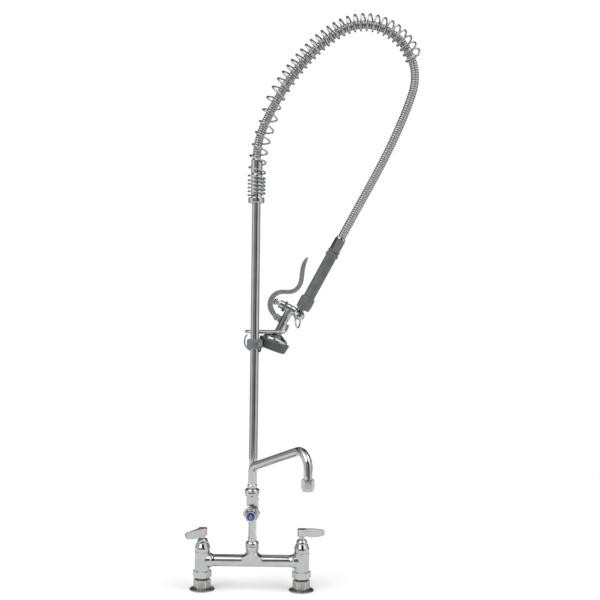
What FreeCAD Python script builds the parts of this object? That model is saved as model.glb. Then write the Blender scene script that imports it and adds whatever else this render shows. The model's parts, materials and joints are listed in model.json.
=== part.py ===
import FreeCAD, Part
import math
import os

# Deck-mount pre-rinse faucet: a two-handle mixing base, a riser with an add-on
# nozzle, an overhead spring with a flexible hose, and a squeeze spray valve that
# rests in a finger hook.  Millimetres, +Z up.  The origin is midway between the
# two inlets, at deck level.  The base runs along X and the user stands at -Y.

# ---------------------------------------------------------------- dimensions
INLET_SPACING = 203.2          # standard 8 inch deck centres
INLET_R = 9.15                 # female thread for a half inch supply
FLANGE_R = 25.9
THREAD_GAP = 0.1               # radial gap drawn at a thread
RUNNING_GAP = 0.08             # radial gap of a turning fit

BARREL_R = 15.9                # vertical barrels of the mixing body
BARREL_BOTTOM, BARREL_TOP = 40.0, 77.5
BRIDGE_R, BRIDGE_Z = 12.3, 60.0
NECK_R, NECK_TOP = 12.8, 82.0

STEM_R = 5.42                  # valve stem where it leaves its bonnet
HUB_BOTTOM = 111.0             # underside of a lever hub above the deck
ADDON_Z = 168.0                # height of the add-on valve's stem
ADDON_SHIFT = 49.0             # stem length that lies behind the riser's axis
PIPE_R = 8.55                  # 3/8 inch pipe
NOZZLE_Y = -32.0               # nozzle swivel, in front of the riser
NOZZLE_TURN = -57.0            # direction of the nozzle, degrees from +X
NOZZLE_REACH = 203.0
NOZZLE_SLOPE = 18.5
NOZZLE_R = 8.5
RISER_TOP = 812.0

HOOK_Z = 528.0                 # height of the finger hook's prongs
VALVE_Y = 24.5                 # the spray valve hangs just behind the riser
PRONG_R, PRONG_GAP = 3.5, 24.0

SPRING_BASE = 806.0
WIRE_R = 1.8
COIL_R = 17.0                  # radius of the spring's turns, to the wire's middle
HOSE_R = 8.75
GRIP_START = FreeCAD.Vector(154.4, VALVE_Y, 684.1)
GRIP_TILT = 28.0               # the spray valve's lean from the vertical
HEAD_TOP = FreeCAD.Vector(40.5, VALVE_Y, 509.9)
HEAD_TILT = 20.0
VALVE_NECK = 21.7              # offset of the valve's neck from its grip
BONNET_S = 135.0               # place of the plunger along the grip's axis
LEVER_PIN_S, LEVER_PIN_T = 162.2, 37.3
RING_TOP = FreeCAD.Vector(88.0, VALVE_Y, 578.2)   # the hold-down ring hangs from here
RING_TWIST = -15.0             # its plane is turned a little from edge-on

# Route of the hose, from the lower ferrule to the upper one.
HOSE_ROUTE = [
    (0, 0, 882), (0, 0, 904), (8, 0, 940), (30, 1, 987), (60, 3, 1041),
    (98, 5, 1091), (143, 8, 1135), (192, 11, 1164), (244, 14, 1165),
    (290, 17, 1141), (319, 20, 1098), (327, 22, 1051), (311, 23.5, 999),
    (283, 24.5, 930), (247, 24.5, 857), (207, 24.5, 783), (176, 24.5, 724.7),
]

Z_AXIS = FreeCAD.Vector(0, 0, 1)
Y_AXIS = FreeCAD.Vector(0, 1, 0)


# ------------------------------------------------------------------- helpers
def vec(x, y, z):
    return FreeCAD.Vector(x, y, z)


def flat(point):
    """A point of an outline, which is drawn in the XZ plane."""
    return vec(point[0], 0, point[1])


def outline(start, *steps):
    """Closed face in XZ. A step is a point, or (through, end) for an arc."""
    edges, here = [], start
    for step in steps + (start,):
        is_arc = isinstance(step[0], tuple)
        end = step[1] if is_arc else step
        if is_arc:
            edges.append(Part.Arc(flat(here), flat(step[0]), flat(end)).toShape())
        elif end != here:
            edges.append(Part.makeLine(flat(here), flat(end)))
        here = end
    return Part.Face(Part.Wire(edges))


def turned(start, *steps):
    """Solid of revolution about Z from an outline of (radius, z) points."""
    return outline(start, *steps).revolve(vec(0, 0, 0), Z_AXIS, 360)


def rod(radius, low, high):
    return Part.makeCylinder(radius, high - low, vec(0, 0, low))


def ring(outer, inner, low, high):
    return rod(outer, low, high).cut(rod(inner, low - 1, high + 1))


def hexagon(across_corners, low, high, chamfer=1.2):
    """Hexagonal prism on Z with its corners turned off at both ends."""
    r = across_corners / 2
    corners = [vec(r * math.cos(math.radians(60 * k)), r * math.sin(math.radians(60 * k)), low)
               for k in range(7)]
    prism = Part.Face(Part.makePolygon(corners)).extrude(vec(0, 0, high - low))
    shoulder = r - 2 * chamfer
    return prism.common(turned((0, low), (shoulder, low), (r, low + chamfer),
                               (r, high - chamfer), (shoulder, high), (0, high)))


def slab(face, thickness):
    """An XZ outline made into a plate, centred on Y = 0."""
    plate = face.extrude(vec(0, thickness, 0))
    plate.translate(vec(0, -thickness / 2, 0))
    return plate


def moved(shape, origin, axis=None, angle=0.0):
    shape = shape.copy()
    turn = FreeCAD.Rotation(axis or Z_AXIS, angle)
    shape.Placement = FreeCAD.Placement(origin, turn).multiply(shape.Placement)
    return shape


def fused(first, *others):
    shape = first
    for other in others:
        shape = shape.fuse(other)
    return shape.removeSplitter()


def cut(first, *others):
    for other in others:
        first = first.cut(other)
    return first


def rounded_wire(points, radii):
    """Straight runs joined by tangent arcs, one radius for each inner point."""
    points = [vec(*p) for p in points]
    edges, here = [], points[0]
    for before, corner, after, radius in zip(points, points[1:], points[2:], radii):
        back = (before - corner).normalize()
        ahead = (after - corner).normalize()
        half = back.getAngle(ahead) / 2
        reach = radius / math.tan(half)
        start, end = corner + back * reach, corner + ahead * reach
        middle_dir = (back + ahead).normalize()
        through = corner + middle_dir * (radius / math.sin(half) - radius)
        edges.append(Part.LineSegment(here, start).toShape())
        edges.append(Part.Arc(start, through, end).toShape())
        here = end
    edges.append(Part.LineSegment(here, points[-1]).toShape())
    return Part.Wire(edges)


def cord_radii(points):
    """Each arc takes 0.45 of the shorter of its two runs."""
    points = [vec(*p) for p in points]
    radii = []
    for before, corner, after in zip(points, points[1:], points[2:]):
        runs = corner - before, after - corner
        half_turn = runs[0].getAngle(runs[1]) / 2
        radii.append(0.45 * min(runs[0].Length, runs[1].Length) / math.tan(half_turn))
    return radii


def swept(wire, radius):
    """Round bar of the given radius along a wire."""
    start = wire.Edges[0]
    tangent = start.tangentAt(start.FirstParameter)
    circle = Part.Wire(Part.makeCircle(radius, start.valueAt(start.FirstParameter), tangent))
    return wire.makePipeShell([circle], True, False)


def ribbon(centre, half_widths):
    """Outline of a curved bar: a smooth line of (x, z) points and its widths."""
    line = Part.BSplineCurve()
    line.interpolate([flat(p) for p in centre])
    left, right = [], []
    for point, half in zip(centre, half_widths):
        tangent = line.tangent(line.parameter(flat(point)))[0]
        side = tangent.cross(Y_AXIS).normalize() * half
        left.append(flat(point) + side)
        right.append(flat(point) - side)
    edges = []
    for side in (left, right):
        curve = Part.BSplineCurve()
        curve.interpolate(side)
        edges.append(curve.toShape())
    caps = [Part.makeLine(left[0], right[0]), Part.makeLine(left[-1], right[-1])]
    return Part.Face(Part.Wire(Part.__sortEdges__(edges + caps)))


def in_valve(shape):
    """From the spray valve's own frame (z down the grip, x to the lever)."""
    return moved(shape, GRIP_START, Y_AXIS, 180 + GRIP_TILT)


def in_head(shape):
    """From the spray head's frame: z leaves the face, 0 at the bumper's rim."""
    return moved(shape, HEAD_TOP, Y_AXIS, 180 + HEAD_TILT)


def across(shape, s, t=0.0):
    """Turn a part built on Z so that it points from the grip's axis to the lever."""
    return moved(shape, vec(t, 0, s), Y_AXIS, 90)


# ------------------------------------------------------------- feet and body
def deck_flange():
    solid = fused(
        turned((0, 0), (FLANGE_R, 0), (FLANGE_R, 1.6), (23.0, 3.4), (16.0, 5.0), (0, 5.0)),
        hexagon(36.0, 4.5, 21.8),
        rod(10.0, 21.0, 30.0))
    return cut(solid, rod(INLET_R, -1, 16.0), rod(6.5, -1, 31.0))


def coupling_nut():
    lower = turned((0, 22.2), (12.5, 22.2), (13.2, 24.0), (16.6, 27.0), (0, 27.0))
    solid = fused(hexagon(38.7, 26.0, 39.8), lower)
    return cut(solid, rod(10.0 + THREAD_GAP, 20, 30.2), rod(11.7, 30.0, 34.3), rod(10.1, 34, 41))


def coupling_washer():
    return ring(9.8, 6.5, 30.0, 32.0)


def barrel(x):
    tail = fused(rod(11.5, 32.0, 34.2), rod(10.0, 34.0, 40.5))
    body = rod(BARREL_R, BARREL_BOTTOM, BARREL_TOP)
    return moved(fused(body, tail), vec(x, 0, 0))


def barrel_cavity(x):
    return moved(fused(rod(6.5, 31.0, 50.0), rod(11.0, 50.0, 78.0)), vec(x, 0, 0))


def bridge():
    """Cross tube with a flare where it meets each barrel."""
    reach = INLET_SPACING / 2
    face = reach - BARREL_R
    profile = turned(
        (0, -reach), (BARREL_R - 0.6, -reach), (BARREL_R - 0.6, -face),
        ((BRIDGE_R + 0.9, -face + 4.0), (BRIDGE_R, -face + 10.0)), (BRIDGE_R, face - 10.0),
        ((BRIDGE_R + 0.9, face - 4.0), (BARREL_R - 0.6, face)), (BARREL_R - 0.6, reach),
        (0, reach))
    return moved(profile, vec(0, 0, BRIDGE_Z), Y_AXIS, 90)


def column_boss():
    """Neck in the middle of the bridge, with a wide flare down to the tube."""
    flare = turned((0, BRIDGE_Z), (24.0, BRIDGE_Z), (23.0, 70.0),
                   ((15.5, 74.0), (NECK_R, NECK_TOP)), (0, NECK_TOP))
    flare = flare.common(Part.makeBox(60, 2 * BRIDGE_R, 60, vec(-30, -BRIDGE_R, 50)))
    return fused(flare, rod(NECK_R, BRIDGE_Z, NECK_TOP), rod(10.4, NECK_TOP - 1, 91.0))


def mixing_body():
    half = INLET_SPACING / 2
    solid = fused(bridge(), barrel(-half), barrel(half), column_boss())
    passage = moved(rod(8.0, -half, half), vec(0, 0, BRIDGE_Z), Y_AXIS, 90)
    return cut(solid, passage, barrel_cavity(-half), barrel_cavity(half), rod(7.0, BRIDGE_Z, 92))


def bonnet():
    """Domed bonnet screwed into a barrel; the stem turns in its bore."""
    dome = turned(
        (0, BARREL_TOP), (15.0, BARREL_TOP), ((16.2, 82.5), (15.4, 88.5)), (12.3, 95.6),
        (11.4, 96.4), (11.8, 97.3), ((10.6, 101.5), (6.6, 105.5)), (0, 105.5))
    return cut(fused(dome, rod(10.9, 68.0, BARREL_TOP + 0.5)),
               rod(STEM_R + RUNNING_GAP, 76.0, 107.0), rod(9.9, 67.0, 76.2))


def spindle():
    stem = fused(rod(8.4, 62.0, 66.0), rod(5.0, 65.0, 77.0), rod(STEM_R, 76.5, HUB_BOTTOM),
                 rod(4.0, HUB_BOTTOM - 1, 119.0))
    return stem.cut(rod(2.05, 109.0, 121.0))


def seat_washer():
    return rod(8.0, 59.0, 62.0)


def lever_handle():
    """Lever hub on Z with a dished upright paddle along +X."""
    paddle_side = outline(
        (4, 1.2), (10, 0.8), ((27, -2.4), (38, -0.6)), ((47, 6.6), (39, 13.2)),
        ((25, 14.4), (10, 14.7)), (4, 14.7))
    paddle_plan = Part.Face(Part.Wire([
        Part.makeLine(vec(0, 9.6, -10), vec(44.5, 9.9, -10)),
        Part.Arc(vec(44.5, 9.9, -10), vec(47.5, 8.5, -10), vec(44.5, 7.0, -10)).toShape(),
        Part.Arc(vec(44.5, 7.0, -10), vec(22, 2.2, -10), vec(2, -9.2, -10)).toShape(),
        Part.makeLine(vec(2, -9.2, -10), vec(0, 9.6, -10))]))
    paddle = slab(paddle_side, 40).common(paddle_plan.extrude(vec(0, 0, 40)))
    hub = turned((0, 0), (8.6, 0), (9.7, 1.2), (9.7, 14.2), (9.1, 15.0), (0, 15.0))
    return cut(fused(hub, paddle), rod(4.1, -1, 8.2), rod(2.1, 8, 10), rod(3.8, 9.3, 13),
               rod(8.1, 12.6, 16))


def handle_screw():
    return fused(rod(3.6, 9.3, 11.8), rod(2.0, -1.0, 9.5)).cut(
        Part.makeBox(5.0, 0.9, 1.2, vec(-2.5, -0.45, 11.0)))


def index_button():
    return turned((0, 12.7), (7.95, 12.7), (7.95, 15.2), ((4.8, 16.1), (1.2, 16.5)),
                  (0, 16.5))


# ---------------------------------------------------- column, add-on, nozzle
def column_washer():
    return ring(10.3, 7.0, 91.0, 92.5)


def column_adapter():
    return cut(fused(rod(10.3, 92.5, 95.0), rod(9.4, 94.5, 108.0)),
               rod(6.2, 92, 109), rod(PIPE_R + THREAD_GAP, 102.0, 109))


def swivel_nut():
    outer = turned((0, 82.2), (12.9, 82.2), ((14.1, 86.0), (14.0, 92.0)),
                   ((13.4, 97.5), (11.6, 100.0)), (0, 100.0))
    return cut(outer, rod(10.5, 81, 95.2), rod(9.5, 95, 101))


def lower_nipple():
    return ring(PIPE_R, 6.2, 102.2, 152.0)


def forward(shape):
    """Turn a part built on Z so that it points at the user, level with the add-on stem."""
    return moved(shape, vec(0, ADDON_SHIFT, ADDON_Z), vec(1, 0, 0), 90)


def addon_body():
    """Tee on the riser with a forward valve barrel and a nozzle neck on it."""
    tee = turned((0, 146.0), (11.2, 146.0), (12.4, 148.0), (12.4, 186.0), (11.2, 190.0), (0, 190.0))
    valve_barrel = moved(turned((0, 0), (13.0, 0), (13.6, 30.0), (14.4, 44.0), (0, 44.0)),
                         vec(0, 0, ADDON_Z), vec(1, 0, 0), 90)
    neck = moved(fused(rod(11.5, ADDON_Z, 200.0), rod(10.4, 199.0, 209.0)), vec(0, NOZZLE_Y, 0))
    bore = moved(fused(rod(NOZZLE_R + RUNNING_GAP, 186.0, 210.0), rod(6.0, ADDON_Z, 187.0)),
                 vec(0, NOZZLE_Y, 0))
    seat = moved(fused(rod(9.0, 14.0, 45.0), rod(5.0, 0.0, 15.0)),
                 vec(0, 0, ADDON_Z), vec(1, 0, 0), 90)
    pipe = fused(rod(PIPE_R + THREAD_GAP, 145.0, 152.2), rod(6.2, 150.0, 181.0),
                 rod(PIPE_R + THREAD_GAP, 180.0, 191.0))
    return cut(fused(tee, valve_barrel, neck), bore, seat, pipe)


def addon_bonnet():
    """Hexagonal bonnet of the add-on valve, in the same frame as the domed ones."""
    plug = rod(8.9, 80.0, 93.5)
    nose = turned((0, 101.0), (12.5, 101.0), ((10.5, 105.5), (7.4, 109.2)), (0, 109.2))
    solid = fused(plug, hexagon(35.0, 93.2, 102.0), nose)
    return cut(solid, rod(STEM_R + RUNNING_GAP, 79, 110))


def addon_spindle():
    stem = fused(rod(8.0, 73.0, 77.0), rod(STEM_R, 76.0, HUB_BOTTOM), rod(4.0, 110, 119.0))
    return stem.cut(rod(2.05, 109.0, 121.0))


def addon_washer():
    return rod(7.4, 70.0, 73.0)


def at_nozzle(shape):
    return moved(shape, vec(0, NOZZLE_Y, 0), Z_AXIS, NOZZLE_TURN)


def packing_nut():
    outer = turned((0, 200.3), (13.6, 200.3), ((15.0, 204.0), (14.8, 209.0)),
                   ((13.6, 213.5), (11.0, 215.0)), (0, 215.0))
    nut = cut(outer, rod(10.5, 199, 209.3), rod(NOZZLE_R + RUNNING_GAP, 209, 216))
    return moved(nut, vec(0, NOZZLE_Y, 0))


def nozzle_route():
    """Centre line of the nozzle in its own frame, reaching along +X."""
    first_corner = 258.0
    peak = first_corner + NOZZLE_REACH * math.tan(math.radians(NOZZLE_SLOPE))
    points = [(0, 0, 190.0), (0, 0, first_corner), (NOZZLE_REACH, 0, peak),
              (NOZZLE_REACH, 0, 256.0)]
    return rounded_wire(points, [20.0, 28.0])


def nozzle_tube():
    wire = nozzle_route()
    tube = swept(wire, NOZZLE_R).cut(swept(wire, 7.0))
    return tube.cut(ring(9.0, 7.6, 197.0, 199.6))


def nozzle_seal():
    return ring(NOZZLE_R, 7.65, 197.1, 199.5)


def nozzle_collar():
    return cut(turned((0, 215.4), (9.6, 215.4), (10.2, 217.0), (10.2, 221.5), (9.3, 223.0),
                      (0, 223.0)), rod(NOZZLE_R + 0.02, 214, 224))


def nozzle_outlet():
    solid = fused(hexagon(25.0, 250.0, 268.0, 0.8), rod(10.4, 246.0, 250.5))
    solid = cut(solid, rod(NOZZLE_R + 0.05, 256.0, 269.0), rod(6.5, 245.0, 257.0))
    return moved(solid, vec(NOZZLE_REACH, 0, 0))


# ------------------------------------------------------- riser and its hook
def riser():
    return ring(PIPE_R, 6.2, 181.0, RISER_TOP)


def hook_clamp():
    """Block clamped on the riser, with a lug for its screw at the right."""
    block = slab(outline((-15.0, 494.0), (13.0, 494.0), ((16.5, 497.0), (16.5, 502.0)),
                         (16.5, 511.0), (13.5, 514.0), (-14.0, 514.0), (-15.5, 512.0)), 16.0)
    block.translate(vec(0, -6.0, 0))
    back = rod(12.0, 494.0, 514.0).cut(Part.makeBox(40, 20, 40, vec(-20, -22, 480)))
    post = moved(rod(5.0, 512.0, HOOK_Z - 2.8), vec(0, 12.5, 0))
    saddle = Part.makeBox(10.0, 6.0, 10.0, vec(-5.0, 8.5, 504.0))
    lug = moved(rod(4.6, 8.9, 12.0), vec(8.6, 0, 491.0), vec(1, 0, 0), -90)
    lug_web = Part.makeBox(8.0, 3.1, 8.0, vec(3.0, 8.9, 490.0))
    screw_hole = moved(rod(2.6, 0, 20), vec(11.8, 4, 504.0), vec(1, 0, 0), 90)
    return cut(fused(block, back, saddle, post, lug, lug_web), rod(PIPE_R + 0.05, 480, 540), screw_hole,
               moved(rod(PRONG_R + 0.05, -30, 30), vec(0, 12.5, HOOK_Z), Y_AXIS, 90))


def hook_fork():
    """One bent rod: two prongs joined by a U bend at the left, tips turned up."""
    near, far = VALVE_Y - PRONG_GAP / 2, VALVE_Y + PRONG_GAP / 2
    bend_x = -6.0
    edges = []
    for y in (near, far):
        prong = [(67.0, y, 543.0), (62.5, y, HOOK_Z), (bend_x, y, HOOK_Z)]
        edges += rounded_wire(prong, [9.0]).Edges
    left_end = vec(bend_x - PRONG_GAP / 2, VALVE_Y, HOOK_Z)
    u_bend = Part.Arc(vec(bend_x, near, HOOK_Z), left_end, vec(bend_x, far, HOOK_Z))
    edges.append(u_bend.toShape())
    return swept(Part.Wire(Part.__sortEdges__(edges)), PRONG_R)


def hook_loop():
    """Open wire loop on the clamp's back, round the riser's line."""
    radius, start, end = 20.0, 136.0, 302.0
    centre = vec(-1.5, 0, 508.6)

    def at(angle):
        a = math.radians(angle)
        return centre + vec(radius * math.cos(a), 10.4, radius * math.sin(a))

    return swept(Part.Wire(Part.Arc(at(start), at((start + end) / 2), at(end)).toShape()), 1.5)


def hook_screw():
    head = cut(rod(4.6, 0, 4.0), Part.makeBox(12, 1.2, 2.0, vec(-6, -0.6, 2.6)))
    screw = fused(head, rod(2.5, -14.0, 0.5))
    return moved(screw, vec(11.8, -14.0, 504.0), vec(1, 0, 0), 90)


# ------------------------------------------------------ overhead spring, hose
def spring_collar():
    return cut(turned((0, 793.0), (15.2, 793.0), (16.5, 794.6), (16.5, 802.6), (15.6, 804.0),
                      (0, 804.0)), rod(PIPE_R + 0.05, 790, 806))


def hose_adapter():
    solid = turned((0, 804.2), (10.9, 804.2), (10.9, 850.0), (10.0, 853.0), (0, 853.0))
    return cut(solid, rod(PIPE_R + THREAD_GAP, 803, RISER_TOP + 0.2), rod(6.2, 803, 854))


def lower_ferrule():
    solid = turned((0, 853.0), (11.0, 853.0), (11.5, 854.0), (11.5, 880.0), (10.6, 882.0),
                   (0, 882.0))
    return cut(solid, rod(6.2, 852, 883))


def hose():
    radii = cord_radii(HOSE_ROUTE)
    wire = rounded_wire(HOSE_ROUTE, radii)
    tube = swept(wire, HOSE_R)
    print("hose radii mm", [round(r) for r in radii])
    print("hose length mm", round(wire.Length, 1), "volume ratio",
          round(tube.Volume / (math.pi * HOSE_R ** 2 * wire.Length), 4))
    return tube


def along_hose(distance):
    """Point and direction on the hose's line, from the lower ferrule's end."""
    for edge in rounded_wire(HOSE_ROUTE, cord_radii(HOSE_ROUTE)).Edges:
        if distance <= edge.Length:
            p = edge.getParameterByLength(distance)
            return edge.valueAt(p), edge.tangentAt(p)
        distance -= edge.Length
    raise ValueError("past the end of the hose")


def spring_offset(distance):
    """Sideways place of a turn: it leans inwards low down, outwards over the arch."""
    inwards = -6.0 * (1 - math.exp(-(distance + 10) / 22))
    outwards = 11.0 / (1 + math.exp(-(distance - 100) / 11))
    return inwards + outwards


def spring_lean(distance):
    """Tilt of a turn's plane about its outward line, in radians."""
    return math.radians(13) / (1 + math.exp(-(distance - 112) / 15))


def overhead_spring():
    """Closed turns on the adapter, then open turns that follow the hose."""
    turns = [Part.makeTorus(COIL_R, WIRE_R, vec(0, 0, SPRING_BASE + WIRE_R + 7.7 * k))
             for k in range(6)]
    for x, z in ((0.8, 862.0), (2.0, 884.0)):
        turns.append(Part.makeTorus(COIL_R, WIRE_R, vec(x, 0, z)))
    distance = 25.0
    while distance < 512.0:
        point, along = along_hose(distance)
        outward = Y_AXIS.cross(along).normalize() * -1
        lean = spring_lean(distance)
        normal = along * math.cos(lean) - Y_AXIS * math.sin(lean)
        centre = point + outward * spring_offset(distance)
        turns.append(Part.makeTorus(COIL_R, WIRE_R, centre, normal))
        distance += 25.0 - 11.5 / (1 + math.exp(-(distance - 150) / 18))
    return Part.makeCompound(turns)


# ------------------------------------------------------------- spray valve
def upper_ferrule():
    solid = fused(turned((0, -45.7), (9.8, -45.7), (10.2, -44.5), (10.2, -41.0), (0, -41.0)),
                  hexagon(22.6, -42.0, -17.0, 0.8))
    return in_valve(cut(solid, rod(6.2, -47, -16)))


def grip_nut():
    solid = fused(turned((0, -17.0), (11.6, -17.0), ((13.2, -15.0), (11.8, -12.0)),
                         (11.0, -11.0), (0, -11.0)),
                  turned((0, -11.2), (11.0, -11.2), (12.6, -9.0), ((13.8, -5.0), (12.6, -1.5)),
                         (11.4, -0.1), (0, -0.1)))
    return in_valve(cut(solid, rod(6.2, -18, 1)))


def grip():
    return in_valve(turned((6.2, 0), (11.3, 0), (11.7, 2.0), (11.7, 93.0), (11.3, 95.0),
                           (6.2, 95.0)))


def grip_sleeve():
    return in_valve(turned((6.2, 95.0), (14.2, 95.0), (15.0, 97.0), (15.2, 112.0), (14.2, 121.0),
                           (13.4, 122.5), (6.2, 122.5)))


def valve_body():
    """Casting: waist and tail on the grip's axis, plunger chamber, offset neck."""
    tail = turned((0, 122.6), (6.0, 122.6), (6.0, 127.6), (11.2, 132.4), (11.4, 137.0),
                  ((9.2, 144.5), (3.5, 147.0)), (0, 147.0))
    bridge_tube = across(rod(7.0, 0, 24.0), BONNET_S - 0.5)
    chamber = across(fused(rod(9.4, 12.0, 30.6), rod(7.4, 30.0, 36.0)), BONNET_S)
    neck = moved(turned((0, 127.5), (7.4, 128.5), (9.2, 133.0), (9.2, 140.0), (8.2, 152.0),
                        (7.8, 178.0), (7.6, 188.0), (0, 188.0)), vec(VALVE_NECK, 0, 0))
    lug = slab(outline((VALVE_NECK, 154.0), (LEVER_PIN_T + 1, LEVER_PIN_S - 5.0),
                       ((LEVER_PIN_T + 5, LEVER_PIN_S), (LEVER_PIN_T, LEVER_PIN_S + 5.0)),
                       (VALVE_NECK, 174.0)), 7.0)
    pin_hole = moved(rod(2.42, -20, 20), vec(LEVER_PIN_T, 0, LEVER_PIN_S), vec(1, 0, 0), 90)
    inlet = rod(5.0, 120.0, 136.0)
    stem_bore = across(rod(3.3, 5.0, 24.0).fuse(rod(5.2, 23.5, 37.0)), BONNET_S)
    outlet = moved(rod(5.0, 136.0, 190.0), vec(VALVE_NECK, 0, 0))
    solid = fused(tail, bridge_tube, chamber, neck, lug)
    return in_valve(cut(solid, pin_hole, inlet, stem_bore, outlet))


def valve_bonnet():
    """Thin hexagonal nut and round cap that guide the plunger."""
    nut = hexagon(23.0, 31.6, 37.4, 0.8).cut(rod(7.5, 30.0, 36.1))
    cap = turned((0, 37.3), (8.4, 37.3), (8.4, 46.0), (7.6, 47.4), (0, 47.4))
    return in_valve(across(cut(fused(nut, cap), rod(4.08, 30, 51), rod(6.0, 35.0, 44.0)),
                           BONNET_S))


def plunger():
    """Stem with a domed tip that the lever pushes."""
    stem = turned((0, 14.0), (3.2, 14.0), (3.2, 28.2), (4.0, 29.2), (4.0, 52.6), (6.8, 53.6),
                  (6.8, 57.0), ((4.4, 59.5), (1.2, 60.3)), (0, 60.3))
    return in_valve(across(stem, BONNET_S))


def plunger_spring():
    """Return spring round the plunger, drawn as a sleeve."""
    return in_valve(across(ring(5.6, 4.4, 37.0, 43.8), BONNET_S))


def lever_pin():
    pin = turned((0, -8.2), (1.9, -8.2), (2.34, -7.7), (2.34, 7.7), (1.9, 8.2), (0, 8.2))
    return in_valve(moved(pin, vec(LEVER_PIN_T, 0, LEVER_PIN_S), vec(1, 0, 0), 90))


def squeeze_lever():
    """Curved lever: it wraps the plunger, dips to the grip and flares at its tip."""
    centre = [(41.0, 162.5), (50.5, 157.8), (60.8, 149.5), (66.2, 137.0), (64.2, 122.7),
              (56.2, 112.5), (42.5, 105.0), (32.6, 95.8), (28.9, 82.3), (31.2, 69.5),
              (36.4, 56.5), (40.8, 43.0), (42.4, 31.5), (41.2, 22.5)]
    halves = [4.2, 5.2, 5.5, 5.2, 4.9, 4.5, 4.3, 4.5, 4.7, 4.8, 4.8, 4.5, 3.5, 0.9]
    blade = slab(ribbon(centre, halves), 15.0)
    ears = slab(outline((LEVER_PIN_T + 6.0, LEVER_PIN_S - 5.0),
                        ((LEVER_PIN_T - 5.6, LEVER_PIN_S), (LEVER_PIN_T + 6.0, LEVER_PIN_S + 5.4)),
                        (LEVER_PIN_T + 15.0, LEVER_PIN_S - 3.0)), 15.0)
    slot = Part.makeBox(24.0, 7.8, 30.0, vec(27.0, -3.9, 153.0))
    pin_hole = moved(rod(2.42, -20, 20), vec(LEVER_PIN_T, 0, LEVER_PIN_S), vec(1, 0, 0), 90)
    return in_valve(cut(fused(blade, ears), slot, pin_hole))


def hold_ring():
    """Closed wire ring that hangs in the valve body's waist."""
    radius, wire = 20.5, 1.6
    torus = Part.makeTorus(radius, wire, vec(0, 0, -radius), vec(1, 0, 0))
    return moved(torus, RING_TOP, Z_AXIS, RING_TWIST)


def spray_dome():
    """Chromed bell between the valve's neck and the bumper, with a bar for its screw."""
    outer = turned((0, -20.4), (7.7, -20.4), (8.2, -16.4), (9.4, -15.2), ((18.0, -9.8), (25.0, -5.4)),
                   (26.2, -3.0), (26.2, 5.9), (0, 5.9))
    inner = turned((0, -11.5), (8.0, -11.5), ((16.5, -6.6), (22.8, -2.6)), (23.8, -0.6),
                   (23.8, 7.0), (0, 7.0))
    bar = fused(Part.makeBox(48.0, 4.0, 3.6, vec(-24.0, -2.0, 1.6)), rod(4.0, 1.6, 5.9))
    bell = fused(cut(outer, inner, rod(5.0, -21, -10)), bar)
    return in_head(bell.cut(rod(1.95, 0, 7)))


def spray_face():
    """Perforated face plate, held by the bumper."""
    plate = turned((0, 6.0), (25.8, 6.0), (25.8, 9.5), (23.0, 10.5), (0, 10.5))
    holes = [rod(1.95, 5, 12)]
    for count, radius in ((6, 7.0), (12, 13.0), (18, 19.0)):
        for k in range(count):
            a = 2 * math.pi * k / count
            holes.append(moved(rod(1.2, 5, 12), vec(radius * math.cos(a), radius * math.sin(a), 0)))
    return in_head(plate.cut(Part.makeCompound(holes)))


def bumper():
    """Rubber ring round the face, wider at its rim."""
    outer = turned((0, 0), (31.5, 0), (32.5, 1.5), (28.6, 18.0), (27.6, 19.5), (0, 19.5))
    return in_head(cut(outer, rod(26.3, -1, 10.6), rod(24.0, 10, 20)))


def face_screw():
    return in_head(fused(rod(3.6, 10.55, 12.4), rod(1.9, 2.0, 10.7)).cut(
        Part.makeBox(5, 0.9, 1.0, vec(-2.5, -0.45, 11.6))))


# ------------------------------------------------------------------ assembly
def valve_set(side, x, turn):
    """Bonnet, stem, washer, lever handle, screw and button of one side."""
    place = {"origin": vec(x, 0, 0), "axis": Z_AXIS, "angle": turn}
    at_hub = {"origin": vec(x, 0, HUB_BOTTOM), "axis": Z_AXIS, "angle": turn}
    return {
        "bonnet_" + side: moved(bonnet(), **place),
        "spindle_" + side: moved(spindle(), **place),
        "seat_washer_" + side: moved(seat_washer(), **place),
        "lever_handle_" + side: moved(lever_handle(), **at_hub),
        "handle_screw_" + side: moved(handle_screw(), **at_hub),
        "index_button_" + side: moved(index_button(), **at_hub),
    }


def foot_set(side, x):
    at = vec(x, 0, 0)
    return {
        "deck_flange_" + side: moved(deck_flange(), at),
        "coupling_washer_" + side: moved(coupling_washer(), at),
        "coupling_nut_" + side: moved(coupling_nut(), at),
    }


def addon_set():
    """The add-on valve, whose lever points down and to the right."""
    hub = vec(0, 0, HUB_BOTTOM)

    def lever(shape):
        return forward(moved(shape, hub, Z_AXIS, -90))

    return {
        "addon_body": addon_body(),
        "addon_bonnet": forward(addon_bonnet()),
        "addon_spindle": forward(addon_spindle()),
        "addon_seat_washer": forward(addon_washer()),
        "addon_lever_handle": lever(lever_handle()),
        "addon_handle_screw": lever(handle_screw()),
        "addon_index_button": lever(index_button()),
    }


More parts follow.
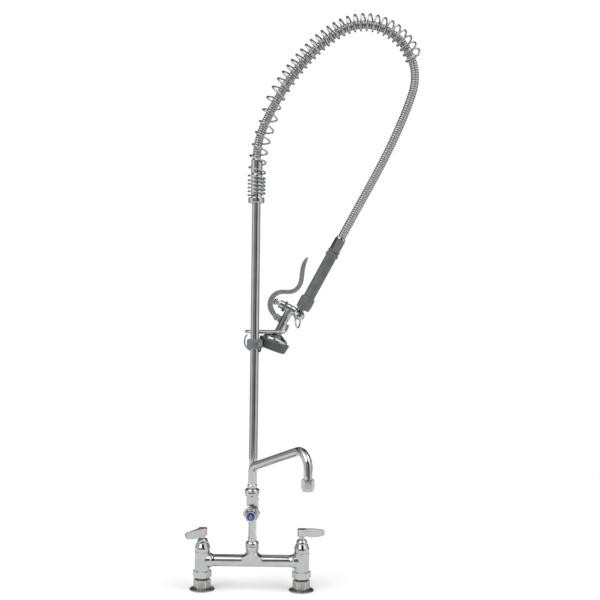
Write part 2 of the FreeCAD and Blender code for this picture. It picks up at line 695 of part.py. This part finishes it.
def all_nodes():
    half = INLET_SPACING / 2
    nodes = {"mixing_body": mixing_body()}
    nodes.update(foot_set("left", -half))
    nodes.update(foot_set("right", half))
    nodes.update(valve_set("hot", -half, 218.0))
    nodes.update(valve_set("cold", half, -4.0))
    nodes.update(addon_set())
    nodes.update({
        "column_washer": column_washer(),
        "column_adapter": column_adapter(),
        "swivel_nut": swivel_nut(),
        "lower_nipple": lower_nipple(),
        "nozzle_packing_nut": packing_nut(),
        "nozzle_tube": at_nozzle(nozzle_tube()),
        "nozzle_seal": at_nozzle(nozzle_seal()),
        "nozzle_collar": at_nozzle(nozzle_collar()),
        "nozzle_outlet": at_nozzle(nozzle_outlet()),
        "riser": riser(),
        "hook_clamp": hook_clamp(),
        "hook_fork": hook_fork(),
        "hook_loop": hook_loop(),
        "hook_screw": hook_screw(),
        "spring_collar": spring_collar(),
        "overhead_spring": overhead_spring(),
        "hose_adapter": hose_adapter(),
        "hose_ferrule_lower": lower_ferrule(),
        "hose": hose(),
        "hose_ferrule_upper": upper_ferrule(),
        "grip_nut": grip_nut(),
        "grip": grip(),
        "grip_sleeve": grip_sleeve(),
        "valve_body": valve_body(),
        "valve_bonnet": valve_bonnet(),
        "plunger": plunger(),
        "plunger_spring": plunger_spring(),
        "lever_pin": lever_pin(),
        "squeeze_lever": squeeze_lever(),
        "hold_ring": hold_ring(),
        "spray_dome": spray_dome(),
        "spray_face": spray_face(),
        "face_screw": face_screw(),
        "bumper": bumper(),
    })
    return nodes


def main():
    os.makedirs("parts", exist_ok=True)
    for name, shape in all_nodes().items():
        if not shape.isValid() or shape.Volume <= 0:
            print("BAD SOLID", name, shape.isValid(), shape.Volume)
        shape.exportStep("parts/" + name + ".step")


main()
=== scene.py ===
"""Studio scene of a deck-mounted pre-rinse faucet, in metres."""

import bisect
import json
import math

import bpy
from mathutils import Matrix, Vector


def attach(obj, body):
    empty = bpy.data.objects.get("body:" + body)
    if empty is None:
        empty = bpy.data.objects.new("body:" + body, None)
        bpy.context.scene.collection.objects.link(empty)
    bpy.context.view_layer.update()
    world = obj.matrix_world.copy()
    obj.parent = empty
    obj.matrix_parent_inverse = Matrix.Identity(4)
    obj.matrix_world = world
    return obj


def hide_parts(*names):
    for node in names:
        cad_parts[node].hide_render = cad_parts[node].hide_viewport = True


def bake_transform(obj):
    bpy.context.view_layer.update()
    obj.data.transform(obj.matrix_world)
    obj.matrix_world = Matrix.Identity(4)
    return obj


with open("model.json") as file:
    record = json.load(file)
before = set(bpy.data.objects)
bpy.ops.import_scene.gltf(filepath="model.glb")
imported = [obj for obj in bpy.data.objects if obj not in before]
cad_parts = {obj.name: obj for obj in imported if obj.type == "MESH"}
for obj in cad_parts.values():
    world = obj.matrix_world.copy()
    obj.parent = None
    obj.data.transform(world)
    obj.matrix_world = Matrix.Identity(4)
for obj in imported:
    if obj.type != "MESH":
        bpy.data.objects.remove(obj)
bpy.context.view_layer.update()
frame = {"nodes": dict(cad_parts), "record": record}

# ------------------------------------------------------------------ sizes
HOSE_R = 0.00875
RIB_PITCH = 0.0048
RIB_DEPTH = 0.0013
GROOVE_SHARE = 0.22            # half width of a groove, as a share of the pitch
RINGS_PER_PITCH = 8
HOSE_AROUND = 24
COIL_R = 0.017
COIL_CLEARANCE = 0.0002        # keeps the wound wire inside the solid rings
WIRE_R = 0.0018
WIRE_AROUND = 12
POINTS_PER_TURN = 40
COIL_START = 150.0             # where the wire starts, degrees about its axis
SPRING_BASE = 0.806
CLOSED_TURNS = 6
CLOSED_PITCH = 0.0077
FIRST_OPEN_MM = 25.0           # open turns, by distance along the hose
LAST_OPEN_MM = 512.0
MARK_POINTS = 48
FLOOR_R = 1.5
FLOOR_POINTS = 96
CAMERA_PLACE = (0.0915, -2.0, 0.626)
CAMERA_ROLL = 0.0123
HOSE_ROUTE = [
    (0, 0, 0.882), (0, 0, 0.904), (0.008, 0, 0.940), (0.030, 0.001, 0.987),
    (0.060, 0.003, 1.041), (0.098, 0.005, 1.091), (0.143, 0.008, 1.135),
    (0.192, 0.011, 1.164), (0.244, 0.014, 1.165), (0.290, 0.017, 1.141),
    (0.319, 0.020, 1.098), (0.327, 0.022, 1.051), (0.311, 0.0235, 0.999),
    (0.283, 0.0245, 0.930), (0.247, 0.0245, 0.857), (0.207, 0.0245, 0.783),
    (0.176, 0.0245, 0.7247),
]


# -------------------------------------------------------------- materials
class Shader:
    """A Principled material with helpers that add and join its nodes."""

    def __init__(self, name, **constants):
        self.material = bpy.data.materials.new(name)
        self.material.use_nodes = True
        self.tree = self.material.node_tree
        self.bsdf = self.tree.nodes["Principled BSDF"]
        for socket, value in constants.items():
            self.bsdf.inputs[socket.replace("_", " ")].default_value = value
        self.place = self.add("ShaderNodeTexCoord").outputs["Object"]

    def add(self, kind, **settings):
        node = self.tree.nodes.new(kind)
        for key, value in settings.items():
            setattr(node, key, value)
        return node

    def link(self, output, target):
        self.tree.links.new(output, target)

    def stretched(self, scale):
        mapping = self.add("ShaderNodeMapping")
        self.link(self.place, mapping.inputs["Vector"])
        mapping.inputs["Scale"].default_value = scale
        return mapping.outputs["Vector"]

    def noise(self, scale, detail=4.0, where=None):
        node = self.add("ShaderNodeTexNoise")
        self.link(where or self.place, node.inputs["Vector"])
        node.inputs["Scale"].default_value = scale
        node.inputs["Detail"].default_value = detail
        return node.outputs["Fac"]

    def ramp(self, value, *stops):
        """Stops are (position, grey or colour)."""
        node = self.add("ShaderNodeValToRGB")
        self.link(value, node.inputs["Fac"])
        ramp = node.color_ramp
        while len(ramp.elements) < len(stops):
            ramp.elements.new(0.5)
        for element, (position, tone) in zip(ramp.elements, stops):
            element.position = position
            colour = tone if isinstance(tone, tuple) else (tone, tone, tone)
            element.color = (*colour, 1.0)
        return node.outputs["Color"]

    def mixed(self, amount, first, second):
        node = self.add("ShaderNodeMix", data_type="RGBA")
        self.link(amount, node.inputs[0])
        for tone, socket in ((first, node.inputs[6]), (second, node.inputs[7])):
            if isinstance(tone, tuple):
                socket.default_value = (*tone, 1.0)
            else:
                self.link(tone, socket)
        return node.outputs[2]

    def worn_edges(self, low, high):
        """1 on sharp outer edges, from the surface's own curvature."""
        point = self.add("ShaderNodeNewGeometry").outputs["Pointiness"]
        return self.ramp(point, (low, 0.0), (high, 1.0))

    def roughness(self, value, low, high):
        node = self.add("ShaderNodeMapRange")
        self.link(value, node.inputs["Value"])
        node.inputs["From Min"].default_value = 0.3
        node.inputs["From Max"].default_value = 0.7
        node.inputs["To Min"].default_value = low
        node.inputs["To Max"].default_value = high
        self.link(node.outputs["Result"], self.bsdf.inputs["Roughness"])

    def relief(self, height, strength, distance, rounding=0.0):
        """Bump from a height, on edges rounded by the bevel shader."""
        bump = self.add("ShaderNodeBump")
        bump.inputs["Strength"].default_value = strength
        bump.inputs["Distance"].default_value = distance
        self.link(height, bump.inputs["Height"])
        if rounding:
            bevel = self.add("ShaderNodeBevel", samples=4)
            bevel.inputs["Radius"].default_value = rounding
            self.link(bevel.outputs["Normal"], bump.inputs["Normal"])
        self.link(bump.outputs["Normal"], self.bsdf.inputs["Normal"])

    def colour(self, output):
        self.link(output, self.bsdf.inputs["Base Color"])


def chrome(name="chrome_plate", bright=0.50, rough=(0.035, 0.09)):
    """Polished plate: faint casting waves, wipe marks and dull water film."""
    s = Shader(name, Metallic=1.0)
    film = s.noise(38.0, 5.0)
    clean = (bright, bright * 1.008, bright * 1.02)
    dulled = (bright * 0.86, bright * 0.875, bright * 0.885)
    s.colour(s.mixed(s.ramp(film, (0.38, 0.0), (0.72, 1.0)), clean, dulled))
    wipes = s.noise(1.0, 6.0, s.stretched((420.0, 420.0, 60.0)))
    s.roughness(wipes, *rough)
    s.relief(s.noise(55.0, 2.0), 0.10, 0.0006, rounding=0.0005)
    return s.material


def nickel():
    """Dull plate of the feet and screws, a little stained in random patches."""
    s = Shader("dull_nickel", Metallic=1.0)
    stain = s.noise(90.0, 6.0)
    base = s.mixed(s.ramp(stain, (0.35, 0.0), (0.7, 1.0)),
                   (0.40, 0.395, 0.38), (0.27, 0.265, 0.25))
    s.colour(s.mixed(s.worn_edges(0.52, 0.6), base, (0.58, 0.58, 0.56)))
    s.roughness(s.noise(260.0, 4.0), 0.2, 0.42)
    s.relief(s.noise(700.0, 3.0), 0.18, 0.0002, rounding=0.0006)
    return s.material


def stainless_hose():
    """Ribbed stainless sheath: painted shade, near black, in the grooves between the lighter crests.
    """
    s = Shader("stainless_sheath", Metallic=1.0)
    groove = s.add("ShaderNodeAttribute", attribute_name="groove").outputs["Fac"]
    tone = s.mixed(s.ramp(s.noise(120.0, 4.0), (0.35, 0.0), (0.7, 1.0)),
                   (0.62, 0.62, 0.61), (0.50, 0.50, 0.495))
    # painted shade: each point's groove share darkens the sheath towards near black
    s.colour(s.mixed(groove, tone, (0.05, 0.05, 0.049)))
    s.roughness(s.noise(500.0, 3.0), 0.24, 0.40)
    s.relief(s.noise(900.0, 2.0), 0.12, 0.0001)
    return s.material


def spring_wire():
    """Bright drawn wire with fine lines and slightly dull patches."""
    s = Shader("spring_wire", Metallic=1.0)
    patches = s.ramp(s.noise(70.0, 5.0), (0.35, 0.0), (0.7, 1.0))
    s.colour(s.mixed(patches, (0.54, 0.55, 0.555), (0.34, 0.35, 0.355)))
    s.roughness(s.noise(300.0, 5.0), 0.06, 0.16)
    s.relief(s.noise(1500.0, 2.0), 0.08, 0.0001)
    return s.material


def moulded(name, light, dark, rough, grain, strength, rounding=0.0006, worn=None):
    """Rubber or plastic: mottled colour, fine grain, rubbed paler on edges."""
    s = Shader(name, Metallic=0.0)
    tone = s.mixed(s.ramp(s.noise(60.0, 6.0), (0.32, 0.0), (0.72, 1.0)), light, dark)
    if worn:
        tone = s.mixed(s.worn_edges(0.53, 0.62), tone, worn)
    s.colour(tone)
    s.roughness(s.noise(grain * 0.6, 4.0), *rough)
    s.relief(s.noise(grain, 3.0), strength, 0.0002, rounding=rounding)
    return s.material


def lever_coat():
    """Satin coating on cast metal, with the casting's soft dimples."""
    s = Shader("lever_coating", Metallic=0.35, Coat_Weight=0.25, Coat_Roughness=0.3)
    tone = s.mixed(s.ramp(s.noise(85.0, 6.0), (0.35, 0.0), (0.7, 1.0)),
                   (0.20, 0.212, 0.21), (0.145, 0.155, 0.153))
    s.colour(s.mixed(s.worn_edges(0.53, 0.62), tone, (0.34, 0.35, 0.35)))
    s.roughness(s.noise(350.0, 4.0), 0.34, 0.52)
    s.relief(s.noise(420.0, 3.0), 0.22, 0.0002, rounding=0.0009)
    return s.material


def index_plastic(name, light, dark):
    """Glossy moulded button with a clear skin and tiny scratches."""
    s = Shader(name, Metallic=0.0, Coat_Weight=0.6, Coat_Roughness=0.08)
    s.colour(s.mixed(s.noise(240.0, 4.0), light, dark))
    s.roughness(s.noise(1.0, 5.0, s.stretched((900.0, 200.0, 900.0))), 0.18, 0.38)
    s.relief(s.noise(1600.0, 2.0), 0.08, 0.0001, rounding=0.0004)
    return s.material


def floor_paint():
    """Pale plain floor with a barely visible unevenness."""
    s = Shader("pale_floor", Metallic=0.0, Specular_IOR_Level=0.15,
               Emission_Color=(1.0, 1.0, 1.0, 1.0), Emission_Strength=0.22)
    s.colour(s.mixed(s.noise(3.0, 3.0), (0.93, 0.93, 0.93), (0.91, 0.91, 0.912)))
    s.roughness(s.noise(14.0, 3.0), 0.75, 0.9)
    s.relief(s.noise(60.0, 2.0), 0.03, 0.0005)
    return s.material


MATERIALS = {
    "chrome": chrome(),
    "nickel": nickel(),
    "steel_hose": stainless_hose(),
    "spring_steel": spring_wire(),
    "rubber": moulded("washer_rubber", (0.055, 0.055, 0.058), (0.03, 0.03, 0.032),
                      (0.55, 0.8), 700.0, 0.25),
    "bumper_rubber": moulded("bumper_rubber", (0.082, 0.090, 0.096), (0.048, 0.053, 0.057),
                             (0.42, 0.62), 620.0, 0.3, 0.0012, (0.13, 0.14, 0.148)),
    "grip_grey": moulded("grip_sleeve_grey", (0.150, 0.163, 0.158), (0.105, 0.115, 0.111),
                         (0.42, 0.62), 850.0, 0.35, 0.0009, (0.24, 0.255, 0.25)),
    "lever_grey": lever_coat(),
    "clamp_grey": moulded("clamp_grey", (0.085, 0.096, 0.102), (0.055, 0.063, 0.068),
                          (0.34, 0.5), 520.0, 0.3, 0.0008, (0.20, 0.215, 0.225)),
    "hot_red": index_plastic("hot_red", (0.36, 0.035, 0.03), (0.24, 0.02, 0.02)),
    "cold_blue": index_plastic("cold_blue", (0.010, 0.055, 0.22), (0.007, 0.036, 0.15)),
    "face_plate": chrome("face_plate_steel", 0.62, (0.2, 0.34)),
}

MARK_WHITE = index_plastic("mark_white", (0.82, 0.83, 0.84), (0.70, 0.72, 0.74))


def paint_nodes():
    for part in frame["record"]["subparts"]:
        mesh = frame["nodes"][part["node"]].data
        mesh.materials.clear()
        mesh.materials.append(MATERIALS[part["material_slot"]])


# ------------------------------------------------------------------ lines
def hose_points():
    """Points read from the smooth spline that has the route's points."""
    curve = bpy.data.curves.new("hose_line", "CURVE")
    curve.dimensions = "3D"
    spline = curve.splines.new("NURBS")
    spline.points.add(len(HOSE_ROUTE) - 1)
    for point, place in zip(spline.points, HOSE_ROUTE):
        point.co = (*place, 1.0)
    spline.order_u = 3
    spline.use_endpoint_u = True
    spline.resolution_u = 24
    carrier = bpy.data.objects.new("hose_line", curve)
    bpy.context.scene.collection.objects.link(carrier)
    mesh = bpy.data.meshes.new_from_object(carrier)
    points = [v.co.copy() for v in mesh.vertices]
    bpy.data.objects.remove(carrier)
    bpy.data.meshes.remove(mesh)
    return points


class Line:
    """A polyline measured by distance, with frames that don't twist."""

    def __init__(self, points):
        self.points = points
        self.at = [0.0]
        for a, b in zip(points, points[1:]):
            self.at.append(self.at[-1] + (b - a).length)
        self.length = self.at[-1]
        last = len(points) - 1
        self.along = [(points[min(i + 1, last)] - points[max(i - 1, 0)]).normalized()
                      for i in range(last + 1)]
        self.side = [Vector((0, 1, 0))]
        for tangent in self.along[1:]:
            side = self.side[-1] - tangent * self.side[-1].dot(tangent)
            self.side.append(side.normalized())

    def sample(self, distance):
        """Point, tangent and sideways direction at a distance from the start."""
        distance = min(max(distance, 0.0), self.length)
        i = min(bisect.bisect_right(self.at, distance) - 1, len(self.points) - 2)
        share = (distance - self.at[i]) / (self.at[i + 1] - self.at[i])
        point = self.points[i].lerp(self.points[i + 1], share)
        along = self.along[i].lerp(self.along[i + 1], share).normalized()
        side = self.side[i].lerp(self.side[i + 1], share).normalized()
        return point, along, side


# ----------------------------------------------------------------- meshes
def new_piece(name, vertices, faces, material, smooth=True):
    mesh = bpy.data.meshes.new(name)
    mesh.from_pydata(vertices, [], faces)
    mesh.update()
    for polygon in mesh.polygons:
        polygon.use_smooth = smooth
    mesh.materials.append(material)
    piece = bpy.data.objects.new(name, mesh)
    bpy.context.scene.collection.objects.link(piece)
    return piece


def skin(rings, around):
    """Faces between rings of points in order, with closed ends."""
    faces = []
    for r in range(rings - 1):
        for k in range(around):
            n = (k + 1) % around
            low, high = r * around, (r + 1) * around
            faces.append((low + k, low + n, high + n, high + k))
    faces.append(tuple(range(around - 1, -1, -1)))
    faces.append(tuple((rings - 1) * around + k for k in range(around)))
    return faces


def ring_of_points(centre, along, side, radius, around):
    up = along.cross(side)
    angles = [2 * math.pi * k / around for k in range(around)]
    return [centre + radius * (math.cos(a) * side + math.sin(a) * up) for a in angles]


def rib_height(turns):
    """Sheath profile over one pitch: a round crest and a narrow groove."""
    place = turns % 1.0
    groove = min(place, 1.0 - place)
    return -RIB_DEPTH * math.exp(-(groove / GROOVE_SHARE) ** 2)


def ribbed_hose(line):
    """Sheath with round ribs across it, and each point's share of groove, which drives the painted
    shade in the grooves.
    """
    rings = int(line.length / RIB_PITCH * RINGS_PER_PITCH)
    vertices, grooves = [], []
    for r in range(rings + 1):
        distance = line.length * r / rings
        point, along, side = line.sample(distance)
        height = rib_height(distance / RIB_PITCH)
        vertices += ring_of_points(point, along, side, HOSE_R + height, HOSE_AROUND)
        grooves += [-height / RIB_DEPTH] * HOSE_AROUND
    faces = skin(rings + 1, HOSE_AROUND)
    hose = new_piece("ribbed_hose", vertices, faces, MATERIALS["steel_hose"])
    hose.data.attributes.new("groove", "FLOAT", "POINT").data.foreach_set("value", grooves)
    return hose


def spring_offset(distance):
    """Sideways place of a turn: it leans inwards low down, outwards over the arch."""
    mm = distance * 1000
    inwards = -6.0 * (1 - math.exp(-(mm + 10) / 22))
    outwards = 11.0 / (1 + math.exp(-(mm - 100) / 11))
    return (inwards + outwards) / 1000


def spring_lean(distance):
    """Tilt of a turn's plane about its outward line, in radians."""
    return math.radians(13) / (1 + math.exp(-(distance * 1000 - 112) / 15))


def spring_turns(line):
    """Centre and lean of each turn: closed on the adapter, then open on the hose."""
    base = SPRING_BASE + WIRE_R
    turns = [(Vector((0, 0, base + CLOSED_PITCH * k)), 0.0) for k in range(CLOSED_TURNS)]
    turns += [(Vector((0.0008, 0, 0.862)), 0.0), (Vector((0.002, 0, 0.884)), 0.0)]
    mm = FIRST_OPEN_MM
    while mm < LAST_OPEN_MM:
        distance = mm / 1000
        point, along, side = line.sample(distance)
        outward = Vector((0, 1, 0)).cross(along).normalized() * -1
        turns.append((point + outward * spring_offset(distance), spring_lean(distance)))
        mm += 25.0 - 11.5 / (1 + math.exp(-(mm - 150) / 18))
    return turns


def catmull(points, place):
    """Smooth position on a list of points at a fractional index."""
    i = min(int(place), len(points) - 2)
    t = place - i
    p0, p1 = points[max(i - 1, 0)], points[i]
    p2, p3 = points[i + 1], points[min(i + 2, len(points) - 1)]
    return 0.5 * (2 * p1 + (p2 - p0) * t + (2 * p0 - 5 * p1 + 4 * p2 - p3) * t ** 2
                  + (3 * p1 - p0 - 3 * p2 + p3) * t ** 3)


def wire_mesh(name, points, radius, around, material):
    """Round wire along points, thinned at both cut ends."""
    line = Line(points)
    vertices = []
    for i, point in enumerate(points):
        at_end = i in (0, len(points) - 1)
        size = radius * (0.8 if at_end else 1.0)
        vertices += ring_of_points(point, line.along[i], line.side[i], size, around)
    return new_piece(name, vertices, skin(len(points), around), material)


def coil_spring(line):
    """The overhead spring as one wound wire, left-handed as it rises."""
    turns = spring_turns(line)
    centres = [centre for centre, _ in turns]
    count = (len(turns) - 1) * POINTS_PER_TURN
    middles = [catmull(centres, i / POINTS_PER_TURN) for i in range(count + 1)]
    axis = Line(middles)
    radius = COIL_R - COIL_CLEARANCE
    points = []
    for i, middle in enumerate(middles):
        along, side = axis.along[i], axis.side[i]
        up = along.cross(side)
        angle = -2 * math.pi * i / POINTS_PER_TURN + math.radians(COIL_START)
        lean = turns[i // POINTS_PER_TURN][1]
        reach = radius * (math.cos(angle) * side + math.sin(angle) * up)
        points.append(middle + reach + along * radius * math.cos(angle) * math.sin(lean))
    return wire_mesh("coil_spring", points, WIRE_R, WIRE_AROUND, MATERIALS["spring_steel"])


def build_hose():
    line = Line(hose_points())
    hose = ribbed_hose(line)
    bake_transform(hose)
    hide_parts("hose")
    spring = coil_spring(line)
    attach(spring, "base")
    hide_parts("overhead_spring")


# ------------------------------------------------------------ small marks
def drop_mark(name, place, turn, body):
    """A plain water drop, printed on an index button: generic, no lettering."""
    outline = []
    for k in range(MARK_POINTS):
        a = 2 * math.pi * k / MARK_POINTS
        taper = math.sin(a / 2) ** 1.6
        outline.append(Vector((0.0030 * math.sin(a) * taper, 0.0042 * math.cos(a), 0.0)))
    inner = [p * 0.78 for p in outline]
    lift = Vector((0, 0, 0.00035))
    rings = [outline, [p + lift for p in outline], [p + lift for p in inner], inner]
    vertices = [turn @ p + Vector(place) for loop in rings for p in loop]
    faces = []
    for r in range(4):
        a, b = r * MARK_POINTS, (r + 1) % 4 * MARK_POINTS
        for k in range(MARK_POINTS):
            n = (k + 1) % MARK_POINTS
            faces.append((a + k, a + n, b + n, b + k))
    mark = new_piece(name, vertices, faces, MARK_WHITE, smooth=False)
    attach(mark, body)


def build_marks():
    upright = Matrix.Rotation(math.radians(90), 3, "X")
    drop_mark("mark_addon", (0, -0.0783, 0.168), upright, "addon_lever")
    drop_mark("mark_hot", (-0.1016, 0, 0.1273), Matrix.Identity(3), "hot_lever")
    drop_mark("mark_cold", (0.1016, 0, 0.1273), Matrix.Identity(3), "cold_lever")


# ----------------------------------------------------------------- studio
def soft_sun(name, direction, strength):
    """A broad, even light, so that the floor is as bright far away as near."""
    light = bpy.data.lights.new(name, "SUN")
    light.energy = strength
    light.angle = math.radians(50)
    lamp = bpy.data.objects.new(name, light)
    lamp.rotation_euler = Vector(direction).to_track_quat("-Z", "Y").to_euler()
    bpy.context.scene.collection.objects.link(lamp)


def studio_world():
    """Soft room: grey and white panels with dark gaps, white behind the object."""
    world = bpy.data.worlds.new("studio")
    bpy.context.scene.world = world
    world.use_nodes = True
    tree = world.node_tree
    tree.nodes.clear()

    def add(kind, **settings):
        node = tree.nodes.new(kind)
        for key, value in settings.items():
            setattr(node, key, value)
        return node

    def math_node(operation, first, second):
        node = add("ShaderNodeMath", operation=operation)
        for value, socket in zip((first, second), node.inputs):
            if isinstance(value, (int, float)):
                socket.default_value = value
            else:
                tree.links.new(value, socket)
        return node.outputs[0]

    def ramp(value, stops):
        node = add("ShaderNodeValToRGB")
        tree.links.new(value, node.inputs["Fac"])
        elements = node.color_ramp.elements
        while len(elements) < len(stops):
            elements.new(0.5)
        for element, (position, tone) in zip(elements, stops):
            element.position = position
            element.color = (tone, tone, tone, 1.0)
        return node.outputs["Color"]

    split = add("ShaderNodeSeparateXYZ")
    tree.links.new(add("ShaderNodeTexCoord").outputs["Generated"], split.inputs[0])
    x, y, z = split.outputs
    turn = math_node("ARCTAN2", x, math_node("MULTIPLY", y, -1.0))
    turn = math_node("ADD", math_node("DIVIDE", turn, 2 * math.pi), 0.5)
    panels = [(-180, 0.75), (-170, 0.10), (-150, 0.14), (-132, 0.55), (-104, 0.60), (-92, 1.3),
              (-62, 1.3), (-52, 0.45), (-16, 0.38), (8, 0.40), (14, 0.05), (30, 0.05), (38, 0.55),
              (60, 1.25), (96, 1.25), (108, 0.55), (134, 0.45), (152, 0.10), (172, 0.08), (180, 0.75)]
    round_room = ramp(turn, [((a + 180) / 360, tone) for a, tone in panels])
    height = math_node("ADD", math_node("MULTIPLY", z, 0.5), 0.5)
    levels = ramp(height, [(0.0, 0.75), (0.40, 0.70), (0.52, 0.85), (0.66, 0.95), (0.70, 0.16),
                           (0.78, 0.16), (0.83, 1.0), (1.0, 1.0)])
    both = add("ShaderNodeMix", data_type="RGBA", blend_type="MULTIPLY")
    both.inputs[0].default_value = 1.0
    tree.links.new(round_room, both.inputs[6])
    tree.links.new(levels, both.inputs[7])
    room = add("ShaderNodeBackground")
    room.inputs["Strength"].default_value = 0.95
    tree.links.new(both.outputs[2], room.inputs["Color"])
    white = add("ShaderNodeBackground")
    white.inputs["Color"].default_value = (1.0, 1.0, 1.0, 1.0)
    choice = add("ShaderNodeMixShader")
    tree.links.new(add("ShaderNodeLightPath").outputs["Is Camera Ray"], choice.inputs[0])
    tree.links.new(room.outputs[0], choice.inputs[1])
    tree.links.new(white.outputs[0], choice.inputs[2])
    tree.links.new(choice.outputs[0], add("ShaderNodeOutputWorld").inputs[0])


def studio():
    angles = [2 * math.pi * k / FLOOR_POINTS for k in range(FLOOR_POINTS)]
    rim = [(FLOOR_R * math.cos(a), FLOOR_R * math.sin(a), 0.0) for a in angles]
    floor = new_piece("floor", rim, [tuple(range(FLOOR_POINTS))], floor_paint())
    studio_world()
    soft_sun("key", (0.55, 0.75, -0.95), 1.35)
    soft_sun("fill", (-0.8, 0.45, -0.9), 0.85)


def camera():
    data = bpy.data.cameras.new("camera")
    data.sensor_width = 36.0
    data.lens = 58.54
    data.shift_y = -0.025
    cam = bpy.data.objects.new("camera", data)
    bpy.context.scene.collection.objects.link(cam)
    level = Matrix.Rotation(math.radians(90), 4, "X")
    roll = Matrix.Rotation(CAMERA_ROLL, 4, "Z")
    cam.matrix_world = Matrix.Translation(CAMERA_PLACE) @ level @ roll
    bpy.context.scene.camera = cam


paint_nodes()
build_hose()
build_marks()
studio()
camera()
bpy.context.scene.view_settings.view_transform = "Standard"

bpy.context.view_layer.update()
